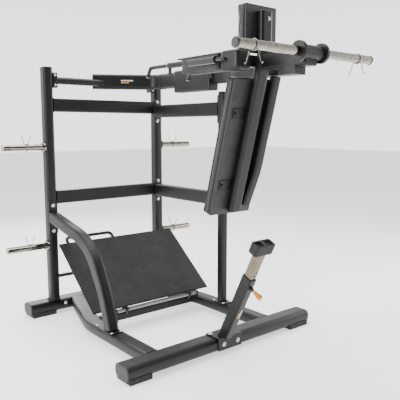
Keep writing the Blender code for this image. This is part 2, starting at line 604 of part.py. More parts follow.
S_TOP = 0.520
p0, p1 = on_stop(-0.02), on_stop(S_TOP)
post = tube("stop_post", "powder_coat", (0, *p0), (0, *p1), 0.060, 0.080, 0.010, up=(0, sz, -sy))
q0, q1 = on_stop(0.10), on_stop(S_TOP + 0.1)
combine(post, tube("stop_bore_form", "steel", (0, *q0), (0, *q1), 0.0446, 0.0646, 0.004, up=(0, sz, -sy)), "DIFFERENCE")
combine(post, block("stop_trim_form", "steel", (-0.1, -0.6, -0.1), (0.1, -0.1, BAR_TOP + 0.008 + GAP)), "DIFFERENCE")
# threaded collar and hole for the pull pin, on the face that leans over the front
combine(post, cyl("stop_pin_collar_form", "steel", (0, *on_stop(S_TOP - 0.060, -0.038)), (0, *on_stop(S_TOP - 0.060, -0.060)), 0.0130, 24))
a, b = on_stop(S_TOP - 0.060, -0.030), on_stop(S_TOP - 0.060, -0.064)
combine(post, cyl("stop_pin_hole_form", "steel", (0, *a), (0, *b), 0.0064, 20), "DIFFERENCE")
base = block("stop_post_bracket", "powder_coat", (-0.060, FRONT_BAR_Y - BAR_DEPTH / 2 - 0.008, BAR_TOP + GAP),
             (0.150, FRONT_BAR_Y + 0.050, BAR_TOP + 0.008), 0.0)
combine(base, block("bracket_front_form", "powder_coat", (-0.060, FRONT_BAR_Y - BAR_DEPTH / 2 - 0.008, 0.030),
                    (0.150, FRONT_BAR_Y - BAR_DEPTH / 2 - GAP, BAR_TOP + 0.008)))

u0, u1 = on_stop(0.23), on_stop(0.715)
slider = tube("stop_slider", "steel", (0, *u0), (0, *u1), 0.044, 0.064, 0.004, up=(0, sz, -sy))
for k in range(5):
    a, b = on_stop(S_TOP - 0.060 + 0.030 * k, -0.060), on_stop(S_TOP - 0.060 + 0.030 * k, -0.018)
    combine(slider, cyl("stop_index_form_%d" % k, "steel", (0, *a), (0, *b), 0.0064, 16), "DIFFERENCE")
v0, v1 = on_stop(0.7153), on_stop(0.782)
bumper = tube("stop_bumper", "rubber", (0, *v0), (0, *v1), 0.156, 0.070, 0.014, up=(0, sz, -sy), n=3)
v0, v1 = on_stop(0.770), on_stop(0.800)
for x in (-0.040, 0.040):
    combine(bumper, tube("bumper_pocket_form", "rubber", (x, *v0), (x, *v1), 0.050, 0.046, 0.008, up=(0, sz, -sy), n=2), "DIFFERENCE")
# pull pin with its knob, drawn back so that its nose is just clear of the slider
w0, w1, w2 = on_stop(S_TOP - 0.060, -0.0325), on_stop(S_TOP - 0.060, -0.073), on_stop(S_TOP - 0.060, -0.140)
pin = cyl("stop_pull_pin", "steel", (0, *w0), (0, *w1), 0.0058, 20)
turned("stop_pull_knob", "knob", [(0, 0), (0.0098, 0), (0.0112, 0.002), (0.0118, 0.014), (0.0142, 0.030), (0.0178, 0.044), (0.0192, 0.054),
                                  (0.0178, 0.062), (0.0130, 0.0662), (0, 0.0667)],
       (0, *on_stop(S_TOP - 0.060, -0.0733)), (0, -sz, sy), 24)

# ------------------------------------------------------------- spring clips
def clip(name, x, y, z, flip):
    """Wire spring clip: two turns round a 50 mm sleeve and two splayed ends.

    flip is +1 with the ends up and -1 with the ends down.
    """
    wire, r, pts = 0.0025, HORN_D / 2 + 0.0034, []
    turns, steps = 1.28, 26
    for i in range(steps + 1):
        a = math.radians(90) + (i / steps - 0.5) * turns * 2 * math.pi + math.pi
        pts.append((x + (i / steps - 0.5) * 0.014, y + r * math.cos(a), z + flip * r * math.sin(a)))
    first, last = Vector(pts[0]), Vector(pts[-1])
    head, tail = [], []
    for ends, p, e in ((head, first, -1), (tail, last, 1)):
        side = math.copysign(1, p.y - y)
        ends += [Vector((p.x + e * 0.004, y + side * 0.0235, z + flip * 0.040)), Vector((p.x + e * 0.012, y + side * 0.034, z + flip * 0.086)),
                 Vector((p.x + e * 0.014, y + side * 0.039, z + flip * 0.090)), Vector((p.x + e * 0.014, y + side * 0.043, z + flip * 0.082))]
    head.reverse()
    obj = rod(name, "chrome", [*[tuple(p) for p in head], *pts, *[tuple(p) for p in tail]], wire, 1)
    pivot_at(obj, (x, y, z))
    return obj


clip("horn_clip_left", -0.425, HORN_Y, HORN_Z, -1)
clip("horn_clip_right", 0.425, HORN_Y, HORN_Z, -1)
for side, sgn in (("left", -1), ("right", 1)):
    for k, z in enumerate(PEG_Z):
        clip("peg_clip_%s_%s" % (("lower", "upper")[k], side), sgn * 0.700, POST_Y, z, 1)

# ----------------------------------------------------- origins of the movers
swing = bpy.data.objects.new("arm_swing_axis", None)
swing.location = (0, PIVOT_Y, PIVOT_Z)
PARTS.objects.link(swing)
tilt = bpy.data.objects.new("foot_plate_axis", None)
tilt.location = (0, HINGE_Y, HINGE_Z)
PARTS.objects.link(tilt)
lift = bpy.data.objects.new("stop_slide_axis", None)
lift.location = (0, *on_stop(S_TOP))
PARTS.objects.link(lift)
bpy.context.view_layer.update()


def carry(parent, names):
    for obj in list(PARTS.objects):
        if obj.type == "MESH" and any(obj.name == n or obj.name.startswith(n) for n in names):
            m = obj.matrix_world.copy()
            obj.parent = parent
            obj.matrix_parent_inverse = parent.matrix_world.inverted()
            obj.matrix_world = m


carry(swing, ("arm_", "carriage_", "back_pad", "head_pad", "pad_strap", "shoulder_", "grab_handle", "handle_end",
              "horn_", "loading_horn"))
carry(tilt, ("foot_plate_grip_sheet", "foot_plate_handle"))
carry(lift, ("stop_slider", "stop_bumper"))
for obj in (plate,):
    m = obj.matrix_world.copy()
    obj.parent = tilt
    obj.matrix_parent_inverse = tilt.matrix_world.inverted()
    obj.matrix_world = m
bpy.context.view_layer.update()

# the whole machine is moved so that its footprint is centred on the origin
CENTRE_Y = (FRONT_REACH + REAR_REACH) / 2
for obj in [*PARTS.objects, *GUIDES.objects]:
    if obj.parent is None:
        obj.location.y -= CENTRE_Y
bpy.context.view_layer.update()
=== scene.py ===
import json
import math

import bmesh
import bpy
from mathutils import Matrix, Vector, noise
from mathutils.bvhtree import BVHTree


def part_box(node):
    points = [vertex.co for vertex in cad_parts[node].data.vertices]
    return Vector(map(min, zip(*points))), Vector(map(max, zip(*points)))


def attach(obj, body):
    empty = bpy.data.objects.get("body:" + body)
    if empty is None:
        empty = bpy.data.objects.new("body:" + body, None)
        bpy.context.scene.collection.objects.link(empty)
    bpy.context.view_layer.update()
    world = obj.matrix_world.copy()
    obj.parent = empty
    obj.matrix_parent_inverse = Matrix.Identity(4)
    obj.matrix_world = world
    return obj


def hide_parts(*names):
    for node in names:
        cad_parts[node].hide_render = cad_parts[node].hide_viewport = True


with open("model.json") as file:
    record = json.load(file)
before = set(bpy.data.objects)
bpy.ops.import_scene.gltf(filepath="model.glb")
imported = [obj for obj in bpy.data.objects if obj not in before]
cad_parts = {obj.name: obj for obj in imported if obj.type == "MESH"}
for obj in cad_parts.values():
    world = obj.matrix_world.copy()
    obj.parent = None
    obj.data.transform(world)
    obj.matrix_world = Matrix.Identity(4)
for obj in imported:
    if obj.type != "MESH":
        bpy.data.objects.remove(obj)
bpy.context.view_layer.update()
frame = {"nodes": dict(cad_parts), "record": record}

NODES = frame["nodes"]
COLL = bpy.context.scene.collection
CY = 0.05625             # the drawing's y, which all sizes below use, is the frame's y plus this
SHIFT = Matrix.Translation((0, -CY, 0))

# ------------------------------------------------------------------ camera
cam_data = bpy.data.cameras.new("camera")
cam_data.sensor_width = 36.0
cam_data.lens = 544.0 / 400.0 * 36.0
cam = bpy.data.objects.new("camera", cam_data)
COLL.objects.link(cam)
cam.location = (-2.353, -2.965 - CY, 1.5)
cam.rotation_euler = (math.radians(90 - 7.54), 0, math.radians(-39.7))
bpy.context.scene.camera = cam


# --------------------------------------------------------------- materials
class Nodes:
    """Small helper for building node trees."""

    def __init__(self, name):
        self.mat = bpy.data.materials.new(name)
        self.mat.use_nodes = True
        self.t = self.mat.node_tree
        self.bsdf = self.t.nodes["Principled BSDF"]
        self.co = self.t.nodes.new("ShaderNodeTexCoord").outputs["Object"]

    def set(self, **kw):
        for k, v in kw.items():
            self.bsdf.inputs[k.replace("_", " ")].default_value = v
        return self

    def link(self, a, b):
        self.t.links.new(a, b)

    def mapping(self, scale):
        m = self.t.nodes.new("ShaderNodeMapping")
        m.inputs["Scale"].default_value = scale
        self.link(self.co, m.inputs["Vector"])
        return m.outputs["Vector"]

    def noise(self, scale, detail=3.0, rough=0.5, vec=None):
        n = self.t.nodes.new("ShaderNodeTexNoise")
        n.inputs["Scale"].default_value = scale
        n.inputs["Detail"].default_value = detail
        n.inputs["Roughness"].default_value = rough
        self.link(vec or self.co, n.inputs["Vector"])
        return n.outputs["Fac"]

    def voronoi(self, scale, feature="F1", vec=None, rand=1.0):
        n = self.t.nodes.new("ShaderNodeTexVoronoi")
        n.feature = feature
        n.inputs["Scale"].default_value = scale
        n.inputs["Randomness"].default_value = rand
        self.link(vec or self.co, n.inputs["Vector"])
        return n.outputs["Distance"]

    def ramp(self, fac, stops, colour=True):
        r = self.t.nodes.new("ShaderNodeValToRGB")
        while len(r.color_ramp.elements) < len(stops):
            r.color_ramp.elements.new(0.5)
        for e, (p, c) in zip(r.color_ramp.elements, stops):
            e.position = p
            e.color = (*c, 1) if isinstance(c, tuple) else (c, c, c, 1)
        self.link(fac, r.inputs["Fac"])
        return r.outputs["Color"]

    def mix(self, fac, a, b, kind="MIX"):
        m = self.t.nodes.new("ShaderNodeMix")
        m.data_type = "RGBA"
        m.blend_type = kind
        for sock, v in (("Factor", fac), ("A", a), ("B", b)):
            i = [s for s in m.inputs if s.name == sock and s.type == ("VALUE" if sock == "Factor" else "RGBA")][0]
            if isinstance(v, (int, float)):
                i.default_value = v if sock == "Factor" else (v, v, v, 1)
            elif isinstance(v, tuple):
                i.default_value = (*v, 1)
            else:
                self.link(v, i)
        return [o for o in m.outputs if o.type == "RGBA"][0]

    def math(self, op, a, b):
        m = self.t.nodes.new("ShaderNodeMath")
        m.operation = op
        for i, v in enumerate((a, b)):
            if isinstance(v, (int, float)):
                m.inputs[i].default_value = v
            else:
                self.link(v, m.inputs[i])
        return m.outputs[0]

    def edge_wear(self, radius=0.0035, lo=0.02, hi=0.16):
        """1 on rounded-over edges, broken up by noise."""
        b = self.t.nodes.new("ShaderNodeBevel")
        b.samples = 4
        b.inputs["Radius"].default_value = radius
        g = self.t.nodes.new("ShaderNodeNewGeometry")
        d = self.t.nodes.new("ShaderNodeVectorMath")
        d.operation = "DOT_PRODUCT"
        self.link(b.outputs["Normal"], d.inputs[0])
        self.link(g.outputs["Normal"], d.inputs[1])
        edge = self.ramp(self.math("SUBTRACT", 1.0, d.outputs["Value"]), [(lo, 0.0), (hi, 1.0)])
        return self.math("MULTIPLY", edge, self.ramp(self.noise(75, 4), [(0.40, 0.15), (0.62, 1.0)]))

    def bump(self, height, strength, distance, after=None):
        b = self.t.nodes.new("ShaderNodeBump")
        b.inputs["Strength"].default_value = strength
        b.inputs["Distance"].default_value = distance
        self.link(height, b.inputs["Height"])
        if after is not None:
            self.link(after, b.inputs["Normal"])
        self.link(b.outputs["Normal"], self.bsdf.inputs["Normal"])
        return b.outputs["Normal"]

    def colour(self, c):
        self.link(c, self.bsdf.inputs["Base Color"])

    def rough(self, r):
        self.link(r, self.bsdf.inputs["Roughness"])


def powder_coat():
    m = Nodes("powder_coat_black")
    m.set(Metallic=0.0, Specular_IOR_Level=0.28, Coat_Weight=0.04, Coat_Roughness=0.25)
    fleck = m.ramp(m.noise(1100, 2), [(0.38, (0.0062, 0.0064, 0.0067)), (0.66, (0.0104, 0.0107, 0.0112))])
    patch = m.ramp(m.noise(2.4, 3), [(0.3, 0.93), (0.7, 1.07)])
    col = m.mix(1.0, fleck, patch, "MULTIPLY")
    scratch = m.ramp(m.noise(1.0, 4, 0.7, m.mapping((9, 150, 150))), [(0.715, 0.0), (0.74, 0.35)])
    col = m.mix(scratch, col, (0.032, 0.032, 0.033))
    col = m.mix(m.edge_wear(), col, (0.040, 0.0405, 0.0412))
    m.colour(col)
    m.rough(m.ramp(m.noise(11, 4), [(0.3, 0.36), (0.75, 0.44)]))
    n = m.bump(m.noise(520, 3, 0.6), 0.16, 0.0006)
    m.bump(m.noise(26, 3), 0.03, 0.002, n)
    return m.mat


def chrome():
    m = Nodes("chrome_sleeve")
    m.set(Metallic=1.0)
    ring = m.noise(1.0, 4, 0.6, m.mapping((900, 14, 14)))
    scuff = m.noise(38, 5, 0.65)
    m.colour(m.ramp(scuff, [(0.30, (0.205, 0.186, 0.158)), (0.62, (0.350, 0.324, 0.284))]))
    m.rough(m.mix(0.5, m.ramp(ring, [(0.35, 0.07), (0.70, 0.20)]), m.ramp(scuff, [(0.35, 0.08), (0.8, 0.24)])))
    m.bump(ring, 0.05, 0.0003)
    return m.mat


def bolt_steel():
    m = Nodes("zinc_bolt")
    m.set(Metallic=1.0)
    m.colour(m.ramp(m.noise(240, 4), [(0.3, (0.56, 0.56, 0.57)), (0.7, (0.78, 0.78, 0.78))]))
    m.rough(m.ramp(m.noise(90, 4), [(0.3, 0.20), (0.7, 0.36)]))
    m.bump(m.noise(700, 2), 0.06, 0.0003)
    return m.mat


def brushed_steel(lean):
    m = Nodes("brushed_steel")
    m.set(Metallic=1.0)
    mp = m.t.nodes.new("ShaderNodeMapping")
    mp.inputs["Rotation"].default_value = (lean, 0, 0)
    mp.inputs["Scale"].default_value = (700, 700, 8)
    m.link(m.co, mp.inputs["Vector"])
    streak = m.noise(1.0, 4, 0.6, mp.outputs["Vector"])
    stain = m.noise(22, 4)
    c = m.ramp(streak, [(0.30, (0.135, 0.108, 0.072)), (0.70, (0.235, 0.198, 0.146))])
    m.colour(m.mix(0.45, c, m.ramp(stain, [(0.35, (0.145, 0.118, 0.082)), (0.7, (0.250, 0.215, 0.165))])))
    m.rough(m.ramp(streak, [(0.3, 0.28), (0.7, 0.46)]))
    m.bump(streak, 0.10, 0.0004)
    return m.mat


def vinyl():
    m = Nodes("pad_vinyl_black")
    m.set(Metallic=0.0, Specular_IOR_Level=0.34, Sheen_Weight=0.02, Sheen_Roughness=0.5)
    cells = m.voronoi(620, "F1")
    fine = m.noise(1100, 3, 0.6)
    wide = m.noise(7, 4)
    c = m.ramp(cells, [(0.0, (0.0075, 0.0075, 0.0080)), (0.65, (0.0160, 0.0160, 0.0168))])
    m.colour(m.mix(1.0, c, m.ramp(wide, [(0.3, 0.80), (0.7, 1.2)]), "MULTIPLY"))
    m.rough(m.ramp(wide, [(0.3, 0.40), (0.72, 0.54)]))
    n = m.bump(cells, 0.38, 0.0008)
    n = m.bump(fine, 0.12, 0.0004, n)
    m.bump(m.noise(34, 3), 0.07, 0.003, n)
    return m.mat


def rubber():
    m = Nodes("moulded_rubber_black")
    m.set(Metallic=0.0, Specular_IOR_Level=0.35)
    m.colour(m.ramp(m.noise(38, 5), [(0.3, (0.014, 0.014, 0.0145)), (0.72, (0.026, 0.026, 0.027))]))
    m.rough(m.ramp(m.noise(150, 3), [(0.3, 0.62), (0.7, 0.80)]))
    m.bump(m.noise(500, 3), 0.3, 0.0006)
    return m.mat


def grip_sheet():
    m = Nodes("non_slip_sheet")
    m.set(Metallic=0.0, Specular_IOR_Level=0.32)
    grit = m.voronoi(330, "F1")
    m.colour(m.mix(0.5, m.ramp(grit, [(0.0, (0.034, 0.034, 0.036)), (0.5, (0.018, 0.018, 0.019))]),
                   m.ramp(m.noise(9, 5), [(0.3, (0.018, 0.018, 0.019)), (0.7, (0.036, 0.036, 0.037))])))
    m.rough(m.ramp(m.noise(80, 3), [(0.3, 0.66), (0.7, 0.86)]))
    m.bump(grit, 0.55, 0.0011)
    return m.mat


def plastic():
    m = Nodes("moulded_plastic_black")
    m.set(Metallic=0.0, Specular_IOR_Level=0.45)
    m.colour(m.ramp(m.noise(60, 4), [(0.3, (0.018, 0.018, 0.0185)), (0.7, (0.028, 0.028, 0.029))]))
    m.rough(m.ramp(m.noise(24, 3), [(0.3, 0.44), (0.7, 0.58)]))
    m.bump(m.noise(800, 2), 0.16, 0.0004)
    return m.mat


def knob():
    m = Nodes("knob_orange")
    m.set(Metallic=0.0, Specular_IOR_Level=0.35, Coat_Weight=0.08, Coat_Roughness=0.15)
    m.colour(m.ramp(m.noise(70, 3), [(0.3, (0.58, 0.205, 0.0)), (0.7, (0.76, 0.305, 0.001))]))
    m.rough(m.ramp(m.noise(110, 3), [(0.3, 0.28), (0.7, 0.42)]))
    m.bump(m.noise(600, 2), 0.08, 0.0003)
    return m.mat


def grey_paint():
    m = Nodes("hinge_grey_paint")
    m.set(Metallic=0.2, Specular_IOR_Level=0.5)
    m.colour(m.mix(m.edge_wear(), m.ramp(m.noise(44, 4), [(0.3, (0.20, 0.203, 0.206)), (0.7, (0.29, 0.293, 0.296))]), (0.45, 0.45, 0.45)))
    m.rough(m.ramp(m.noise(30, 3), [(0.3, 0.32), (0.7, 0.46)]))
    m.bump(m.noise(500, 2), 0.1, 0.0004)
    return m.mat


def wire():
    m = Nodes("clip_wire")
    m.set(Metallic=1.0)
    m.colour(m.ramp(m.noise(300, 4), [(0.3, (0.15, 0.143, 0.133)), (0.7, (0.29, 0.279, 0.262))]))
    m.rough(m.ramp(m.noise(120, 4), [(0.3, 0.26), (0.7, 0.42)]))
    m.bump(m.noise(900, 2), 0.06, 0.0003)
    return m.mat


def gloss_grip():
    m = Nodes("hand_grip_gloss_black")
    m.set(Metallic=0.0, Specular_IOR_Level=0.5, Coat_Weight=0.25, Coat_Roughness=0.12)
    m.colour(m.ramp(m.noise(70, 4), [(0.3, (0.007, 0.007, 0.0073)), (0.7, (0.013, 0.013, 0.0135))]))
    m.rough(m.ramp(m.noise(30, 3), [(0.3, 0.26), (0.7, 0.36)]))
    m.bump(m.noise(400, 2), 0.03, 0.0002)
    return m.mat


def thread():
    m = Nodes("stitch_thread")
    m.set(Metallic=0.0, Sheen_Weight=0.2)
    m.colour(m.ramp(m.noise(900, 2), [(0.3, (0.022, 0.022, 0.023)), (0.7, (0.060, 0.060, 0.062))]))
    m.rough(m.ramp(m.noise(300, 2), [(0.3, 0.6), (0.7, 0.8)]))
    m.bump(m.noise(1600, 2), 0.4, 0.0003)
    return m.mat


def stripe(name, a, b):
    m = Nodes(name)
    m.set(Metallic=0.0, Coat_Weight=0.2, Coat_Roughness=0.2)
    m.colour(m.ramp(m.noise(120, 3), [(0.3, a), (0.7, b)]))
    m.rough(m.ramp(m.noise(50, 3), [(0.3, 0.34), (0.7, 0.5)]))
    m.bump(m.noise(500, 2), 0.1, 0.0003)
    return m.mat


M = {
    "black_powder_coat": powder_coat(), "chrome": chrome(), "bare_steel": brushed_steel(math.radians(-26.5)),
    "vinyl": vinyl(), "rubber": rubber(), "black_plastic": plastic(), "orange_knob": knob(),
    "grey_paint": grey_paint(),
}
BOLT, THREAD, GRIP_SHEET, CLIP_WIRE, GLOSS_GRIP = bolt_steel(), thread(), grip_sheet(), wire(), gloss_grip()
STRIPE_A = stripe("stripe_orange", (0.62, 0.27, 0.05), (0.78, 0.38, 0.09))
STRIPE_B = stripe("stripe_pale", (0.50, 0.50, 0.49), (0.66, 0.66, 0.65))

slot_of = {s["node"]: s["material_slot"] for s in frame["record"]["subparts"]}
for name, obj in NODES.items():
    mat = M[slot_of[name]]
    if name == "foot_plate_grip_sheet":
        mat = GRIP_SHEET
    elif "_clip" in name:
        mat = CLIP_WIRE
    elif name == "side_hand_grip":
        mat = GLOSS_GRIP
    obj.data.materials.clear()
    obj.data.materials.append(mat)
    for p in obj.data.polygons:
        p.use_smooth = True
    obj.data.set_sharp_from_angle(angle=math.radians(34))
    if not any(k in name for k in ("clip", "pull_pin", "grip_sheet")):
        b = obj.modifiers.new("edge", "BEVEL")
        b.width = 0.0011
        b.segments = 2
        b.limit_method = "ANGLE"
        b.angle_limit = math.radians(50)
        b.harden_normals = True
        b.miter_outer = "MITER_ARC"


# ------------------------------------------------------------------ helpers
def link(name, mesh, mat, body):
    mesh.transform(SHIFT)
    obj = bpy.data.objects.new(name, mesh)
    COLL.objects.link(obj)
    mesh.materials.append(mat)
    for p in mesh.polygons:
        p.use_smooth = True
    mesh.set_sharp_from_angle(angle=math.radians(35))
    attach(obj, body)
    return obj


def lathe(bm, profile, matrix, seg=28):
    """Adds a turned closed shape to bm: profile is (radius, height) from one axis end to the other."""
    rings = []
    for r, h in profile:
        if r < 1e-7:
            rings.append([bm.verts.new(matrix @ Vector((0, 0, h)))])
        else:
            rings.append([bm.verts.new(matrix @ Vector((r * math.cos(2 * math.pi * k / seg),
                                                         r * math.sin(2 * math.pi * k / seg), h))) for k in range(seg)])
    for a, b in zip(rings, rings[1:]):
        for k in range(seg):
            n = (k + 1) % seg
            if len(a) == 1 and len(b) == 1:
                continue
            if len(a) == 1:
                bm.faces.new((a[0], b[n], b[k]))
            elif len(b) == 1:
                bm.faces.new((a[k], a[n], b[0]))
            else:
                bm.faces.new((a[k], a[n], b[n], b[k]))


def towards(point, axis):
    m = Vector(axis).normalized().to_track_quat("Z", "Y").to_matrix().to_4x4()
    m.translation = Vector(point)
    return m


def add_bolt(bm, point, axis, r=0.0115, seg=28):
    """Button-head screw with a hex socket, on a washer."""
    m = towards(point, axis)
    w, h = r * 1.22, r * 0.62
    lathe(bm, [(0, -0.0002), (w * 0.98, -0.0002), (w, 0.0002), (w, 0.0016), (w * 0.96, 0.0020), (r * 0.99, 0.0020), (r, 0.0026),
               (r * 0.95, 0.0022 + h * 0.35), (r * 0.80, 0.0022 + h * 0.72), (r * 0.62, 0.0022 + h * 0.93), (r * 0.50, 0.0022 + h)],
          m, seg)
    # socket: a hexagonal well closes the top
    top = [bm.verts.new(m @ Vector((r * 0.50 * math.cos(2 * math.pi * k / seg), r * 0.50 * math.sin(2 * math.pi * k / seg), 0.0022 + h)))
           for k in range(seg)]
    hexr = [bm.verts.new(m @ Vector((hex_radius(2 * math.pi * k / seg, r * 0.40) * math.cos(2 * math.pi * k / seg),
                                     hex_radius(2 * math.pi * k / seg, r * 0.40) * math.sin(2 * math.pi * k / seg), 0.0022 + h)))
            for k in range(seg)]
    low = [bm.verts.new(m @ Vector((hex_radius(2 * math.pi * k / seg, r * 0.38) * math.cos(2 * math.pi * k / seg),
                                    hex_radius(2 * math.pi * k / seg, r * 0.38) * math.sin(2 * math.pi * k / seg), 0.0022 + h * 0.35)))
           for k in range(seg)]
    for a, b in ((top, hexr), (hexr, low)):
        for k in range(seg):
            n = (k + 1) % seg
            bm.faces.new((a[k], a[n], b[n], b[k]))
    bm.faces.new(low)


def hex_radius(a, r):
    return r / math.cos((a % (math.pi / 3)) - math.pi / 6) * math.cos(math.pi / 6)


def mesh_of(bm, name):
    bmesh.ops.remove_doubles(bm, verts=bm.verts, dist=1e-6)
    bmesh.ops.recalc_face_normals(bm, faces=bm.faces)
    mesh = bpy.data.meshes.new(name)
    bm.to_mesh(mesh)
    bm.free()
    return mesh


def bolts(name, body, places, r=0.0115, mat=None):
    """A set of screws: places holds (point, axis)."""
    for i, (p, a) in enumerate(places):
        bm = bmesh.new()
        add_bolt(bm, p, a, r)
        link("%s_%d" % (name, i + 1), mesh_of(bm, name), mat or BOLT, body)


def outline(w, h, r, n=5):
    pts = []
    for cx, cy, a0 in ((w / 2 - r, h / 2 - r, 0), (-w / 2 + r, h / 2 - r, 90), (-w / 2 + r, -h / 2 + r, 180),
                       (w / 2 - r, -h / 2 + r, 270)):
        for i in range(n + 1):
            a = math.radians(a0 + 90 * i / n)
            pts.append((cx + r * math.cos(a), cy + r * math.sin(a)))
    return pts


def loft(bm, loops, cap=True):
    rings = [[bm.verts.new(p) for p in loop] for loop in loops]
    n = len(rings[0])
    for a, b in zip(rings, rings[1:]):
        for k in range(n):
            bm.faces.new((a[k], a[(k + 1) % n], b[(k + 1) % n], b[k]))
    if cap:
        bm.faces.new(rings[0])
        bm.faces.new(list(reversed(rings[-1])))


def end_cap(name, body, centre, axis, up, w, h, r, depth=0.009):
    """Domed plastic insert with a shadow line, closing the end of a tube."""
    a = Vector(axis).normalized()
    u = Vector(up).normalized()
    s = u.cross(a).normalized()
    c = Vector(centre)
    bm = bmesh.new()
    loops = []
    for inset, t in ((0.0045, -0.002), (0.0045, 0.0004), (0.0, 0.0012), (-0.0002, 0.0030), (0.0002, depth * 0.55),
                     (0.0022, depth * 0.82), (0.0055, depth * 0.96), (0.012, depth), (0.022, depth * 1.02)):
        ww, hh = w - 2 * inset, h - 2 * inset
        loops.append([c + s * x + u * y + a * t for x, y in outline(ww, hh, max(0.0015, min(r - inset, ww / 2 - 1e-4, hh / 2 - 1e-4)))])
    loft(bm, loops)
    return link(name, mesh_of(bm, name), M["black_plastic"], body)


def weld_bead(name, body, centre, axis, up, w, h, r, bead=0.0032):
    """A rippled weld bead round the end of a tube."""
    a = Vector(axis).normalized()
    u = Vector(up).normalized()
    s = u.cross(a).normalized()
    c = Vector(centre)
    pts = outline(w, h, r, 4)
    path = []
    for i, p in enumerate(pts):
        q = pts[(i + 1) % len(pts)]
        length = math.hypot(q[0] - p[0], q[1] - p[1])
        k = max(1, int(length / 0.004))
        for j in range(k):
            path.append((p[0] + (q[0] - p[0]) * j / k, p[1] + (q[1] - p[1]) * j / k))
    bm = bmesh.new()
    rings = []
    for i, (x, y) in enumerate(path):
        base = c + s * x + u * y
        out = (s * x / max(w, 1e-6) + u * y / max(h, 1e-6))
        nxt, prv = path[(i + 1) % len(path)], path[i - 1]
        t = (s * (nxt[0] - prv[0]) + u * (nxt[1] - prv[1])).normalized()
        o = t.cross(a).normalized()
        if o.dot(out) < 0:
            o = -o
        rr = bead * (0.86 + 0.14 * math.sin(i * 2.1) + 0.12 * noise.noise(base * 90))
        rings.append([bm.verts.new(base + o * (rr * math.cos(k * math.pi / 3)) + a * (rr * math.sin(k * math.pi / 3))) for k in range(6)])
    for i in range(len(rings)):
        p, q = rings[i], rings[(i + 1) % len(rings)]
        for k in range(6):
            bm.faces.new((p[k], p[(k + 1) % 6], q[(k + 1) % 6], q[k]))
    return link(name, mesh_of(bm, name), M["black_powder_coat"], body)


# --------------------------------------------------- caps, welds and screws
def node(n):
    lo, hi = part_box(n)
    return Vector(lo) + Vector((0, CY, 0)), Vector(hi) + Vector((0, CY, 0))


BASE, ARM = "base_frame", "swing_arm"
for n in ("front_base_bar", "rear_base_bar"):
    lo, hi = node(n)
    mid = (lo + hi) / 2
    for side, x, s in (("left", lo.x, -1), ("right", hi.x, 1)):
        tag = n.replace("_base_bar", "") + "_bar_cap_" + side
        end_cap(tag, BASE, (x, mid.y, mid.z), (s, 0, 0), (0, 0, 1), hi.y - lo.y - 0.001, hi.z - lo.z - 0.001, 0.0335, 0.0085)

for n in ("rear_post_left", "rear_post_right"):
    lo, hi = node(n)
    cx = -0.518 if "left" in n else 0.518
    end_cap(n + "_cap", BASE, (cx, 1.115, hi.z), (0, 0, 1), (1, 0, 0), 0.089, 0.075, 0.021, 0.009)
lo, hi = node("front_post")
end_cap("front_post_cap", BASE, (0.497, 0.190, hi.z), (0, 0, 1), (1, 0, 0), 0.061, 0.061, 0.013, 0.008)
end_cap("arm_link_cap", ARM, (0.305, -0.669, 1.880), (0, -1, 0), (0, 0, 1), 0.049, 0.109, 0.015, 0.008)
lo, hi = node("carriage_spine")
end_cap("spine_top_cap", ARM, (0, -0.7135, hi.z), (0, 0, 1), (1, 0, 0), 0.049, 0.089, 0.010, 0.006)

TOP = 0.118
beam_lo, beam_hi = node("foot_plate_beam")
bolts("rear_post_screw", BASE, [((sgn * 0.5562, 1.129, 0.158), (sgn, 0, 0)) for sgn in (-1, 1)], 0.0085)
bolts("front_post_screw", BASE, [((0.497 + dx, 0.190 + dy, TOP), (0, 0, 1)) for dx in (-0.036, 0.036) for dy in (-0.055, 0.055)], 0.0085)
bolts("entry_flange_screw", BASE, [((-0.519 + dx, y, TOP), (0, 0, 1)) for dx in (-0.034, 0.034) for y in (0.1385, 0.338)], 0.0085)
bolts("entry_plate_screw", BASE, [((-0.523, 1.062, z), (0, -1, 0)) for z in (0.688, 0.890)], 0.0125)
side = []
for z0, z1 in ((1.592, 1.700), (0.890, 0.998)):
    zc = (z0 + z1) / 2
    for dz in (-0.083, 0.083):
        side.append(((0.497, 1.0637, zc + dz), (0, -1, 0)))
        side.append(((0.497, 0.2273, zc + dz), (0, 1, 0)))
bolts("side_beam_screw", BASE, side, 0.0118)
bolts("stop_bracket_screw", BASE, [((x, -0.398, 0.070), (0, -1, 0)) for x in (-0.012, 0.112)] +
      [((x, -0.292, TOP), (0, 0, 1)) for x in (-0.042, 0.132)], 0.0125)
bolts("rear_bar_screw", BASE, [((x, 1.065, 0.080), (0, -1, 0)) for x in (-0.439, 0.439)], 0.0125)
for sgn, tag in ((-1, "left"), (1, "right")):
    bolts("bearing_screw_" + tag, BASE, [((sgn * 0.4595, 1.115 - 0.038, 1.870 + dz), (0, -1, 0)) for dz in (-0.038, 0.038)], 0.0085)

